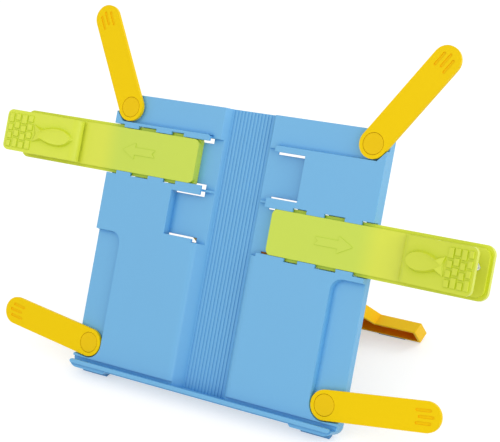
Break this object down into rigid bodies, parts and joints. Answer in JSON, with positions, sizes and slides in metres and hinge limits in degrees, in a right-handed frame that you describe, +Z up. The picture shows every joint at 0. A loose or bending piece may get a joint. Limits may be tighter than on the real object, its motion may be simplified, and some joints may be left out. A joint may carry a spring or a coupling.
{
  "type": "folding bookstand rack",
  "caption": "Folding book stand: a leaning panel with swing-out page arms, sliding sprung page clips, a book ledge and a hinged rear leg.",
  "frame": {"origin": "on the table, under the middle of the stand's outer box in its pictured pose", "axes": "+Z up, the face looks towards -Y and leans back towards +Y, +X across the stand along the slides"},
  "size_m": [0.424, 0.1732, 0.2654],
  "materials": {
    "panel_blue": "light blue moulded plastic with a fine satin texture",
    "arm_yellow": "golden yellow moulded plastic, satin",
    "pin_amber": "deeper yellow moulded plastic, satin",
    "slide_green": "light yellow-green moulded plastic, satin",
    "clip_lime": "yellow-green moulded plastic, satin",
    "leg_orange": "orange-yellow moulded plastic, satin",
    "bright_steel": "bright spring steel",
    "pad_rubber": "soft anti-slip rubber in the panel's blue"
  },
  "bodies": {
    "stand": {"back_panel": "panel_blue", "arm_pin_top_left": "pin_amber", "arm_pin_top_right": "pin_amber", "arm_pin_bottom_left": "pin_amber", "arm_pin_bottom_right": "pin_amber", "pin_ring_top_left": "bright_steel", "pin_ring_top_right": "bright_steel", "pin_ring_bottom_left": "bright_steel", "pin_ring_bottom_right": "bright_steel", "leg_hinge_rod": "bright_steel", "foot_pad_left": "pad_rubber", "foot_pad_right": "pad_rubber"},
    "arm_top_left": {"arm_top_left": "arm_yellow"},
    "arm_top_right": {"arm_top_right": "arm_yellow"},
    "arm_bottom_left": {"arm_bottom_left": "arm_yellow"},
    "arm_bottom_right": {"arm_bottom_right": "arm_yellow"},
    "slide_left": {"slide_left": "slide_green", "clip_pin_left": "bright_steel", "clip_spring_left": "bright_steel"},
    "clip_left": {"clip_lever_left": "clip_lime"},
    "slide_right": {"slide_right": "slide_green", "clip_pin_right": "bright_steel", "clip_spring_right": "bright_steel"},
    "clip_right": {"clip_lever_right": "clip_lime"},
    "leg": {"rear_leg": "leg_orange", "leg_pad_left": "pad_rubber", "leg_pad_right": "pad_rubber"}
  },
  "joints": [
    {"name": "arm_top_left_swing", "type": "hinge", "parent": "stand", "child": "arm_top_left", "pos_m": [-0.10735, 0.02026, 0.19413], "axis": [0, -0.8829, 0.4695], "range_deg": [-119.3, 8]},
    {"name": "arm_top_right_swing", "type": "hinge", "parent": "stand", "child": "arm_top_right", "pos_m": [0.10825, 0.02026, 0.19413], "axis": [0, -0.8829, 0.4695], "range_deg": [-4, 123.7]},
    {"name": "arm_bottom_left_swing", "type": "hinge", "parent": "stand", "child": "arm_bottom_left", "pos_m": [-0.10685, -0.07006, 0.02425], "axis": [0, -0.8829, 0.4695], "range_deg": [-82.5, 1]},
    {"name": "arm_bottom_right_swing", "type": "hinge", "parent": "stand", "child": "arm_bottom_right", "pos_m": [0.10775, -0.07006, 0.02425], "axis": [0, -0.8829, 0.4695], "range_deg": [-1, 82.5]},
    {"name": "slide_left_pull", "type": "slide", "parent": "stand", "child": "slide_left", "axis": [1, 0, 0], "range_m": [0, 0.0915]},
    {"name": "slide_right_pull", "type": "slide", "parent": "stand", "child": "slide_right", "axis": [-1, 0, 0], "range_m": [0, 0.0915]},
    {"name": "clip_left_press", "type": "hinge", "parent": "slide_left", "child": "clip_left", "pos_m": [-0.17045, -0.00342, 0.16769], "axis": [0, -0.4695, -0.8829], "range_deg": [0, 12], "stiffness_Nm_per_rad": 0.6, "springref_deg": -5.73, "deforming": ["clip_spring_left"]},
    {"name": "clip_right_press", "type": "hinge", "parent": "slide_right", "child": "clip_right", "pos_m": [0.17045, -0.0232, 0.13048], "axis": [0, 0.4695, 0.8829], "range_deg": [0, 12], "stiffness_Nm_per_rad": 0.6, "springref_deg": -5.73, "deforming": ["clip_spring_right"]},
    {"name": "leg_fold", "type": "hinge", "parent": "stand", "child": "leg", "pos_m": [0.00045, -0.00102, 0.11789], "axis": [1, 0, 0], "range_deg": [-63, 0]}
  ]
}
